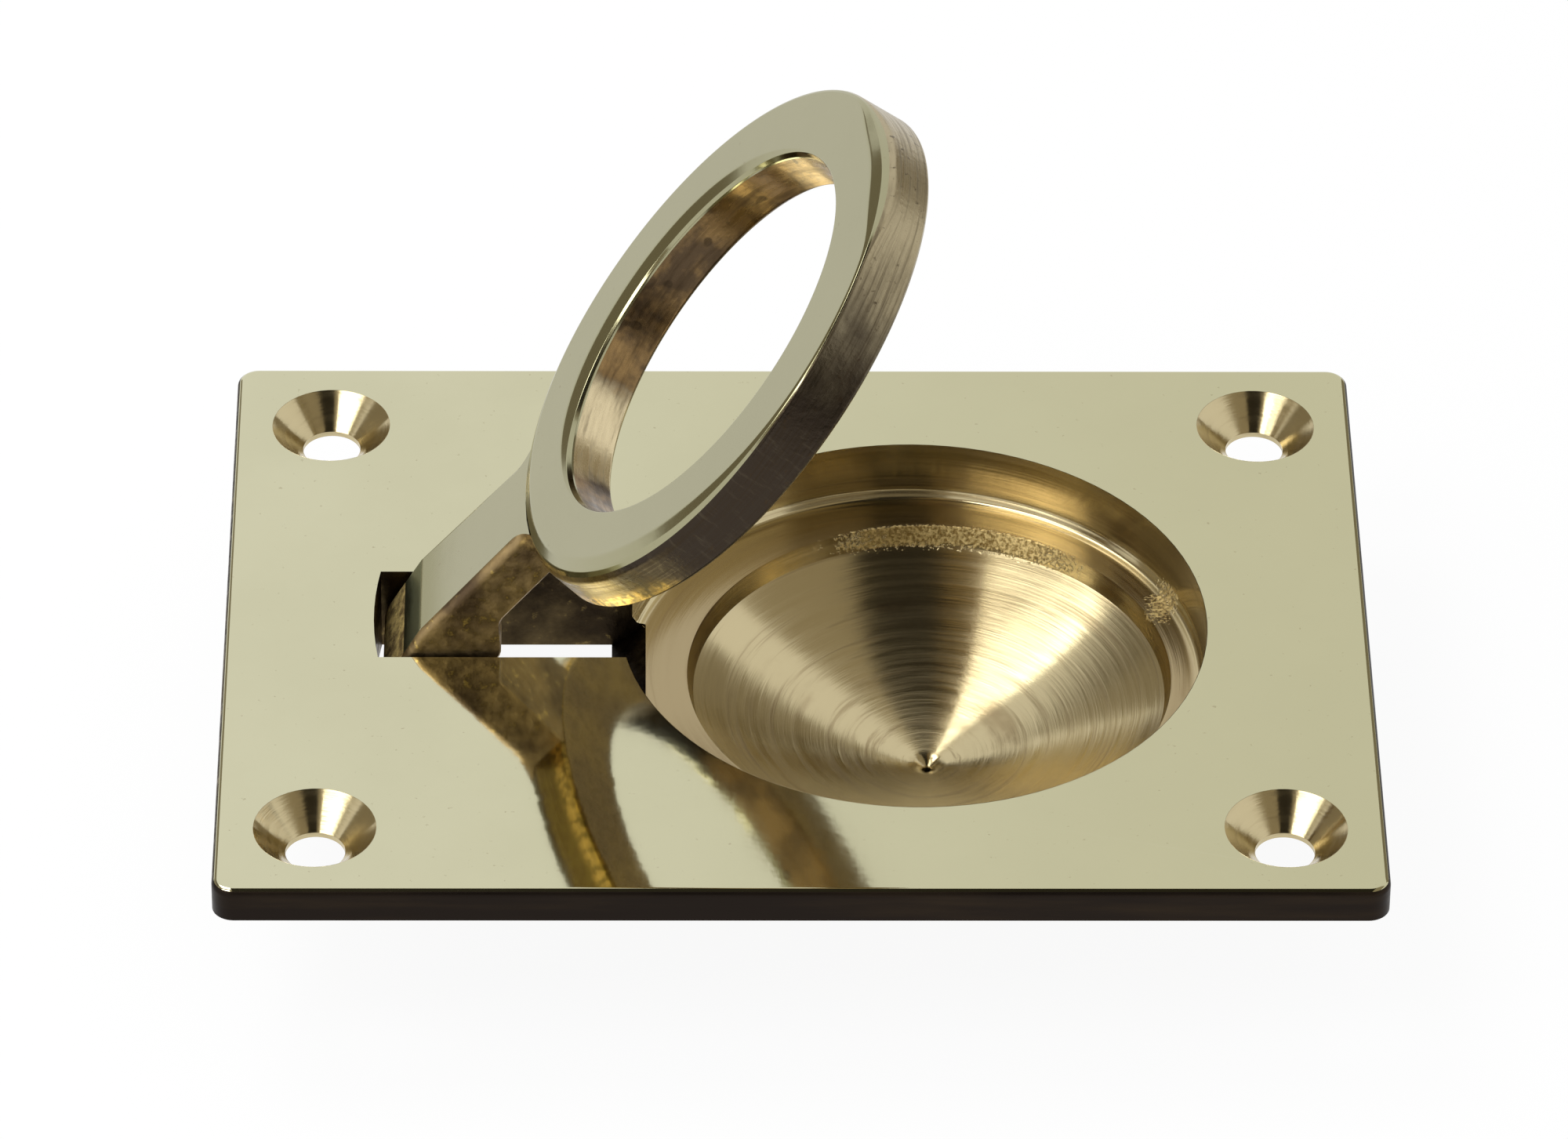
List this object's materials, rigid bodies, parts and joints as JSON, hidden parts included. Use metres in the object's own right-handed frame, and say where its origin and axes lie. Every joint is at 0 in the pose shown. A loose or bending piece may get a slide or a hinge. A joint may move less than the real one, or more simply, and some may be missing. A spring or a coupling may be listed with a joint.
{
  "type": "ring pull handle",
  "caption": "Flush ring pull: a countersunk rectangular plate with a round finger cup, and a flat ring on a tongue that hinges up out of its recess.",
  "frame": {"origin": "middle of the four screw holes, on the seating face under the plate", "axes": "+Z out of the surface that the plate is let into, +X from the hinge towards the free side of the ring, +Y across"},
  "size_m": [0.0636, 0.047, 0.0432],
  "materials": {
    "plate_brass": "face polished to a mirror, cup and countersinks turned, walls and underside as cast",
    "ring_brass": "face polished, rim and tongue sides left rough and brown",
    "pin_brass": "drawn rod"
  },
  "bodies": {
    "plate": {"plate_body": "plate_brass", "hinge_pin": "pin_brass"},
    "ring": {"ring": "ring_brass"}
  },
  "joints": [
    {"name": "ring_hinge", "type": "hinge", "parent": "plate", "child": "ring", "pos_m": [-0.0209, 0.00065, -0.00095], "axis": [0, -1, 0], "range_deg": [-50.2, 31]}
  ]
}
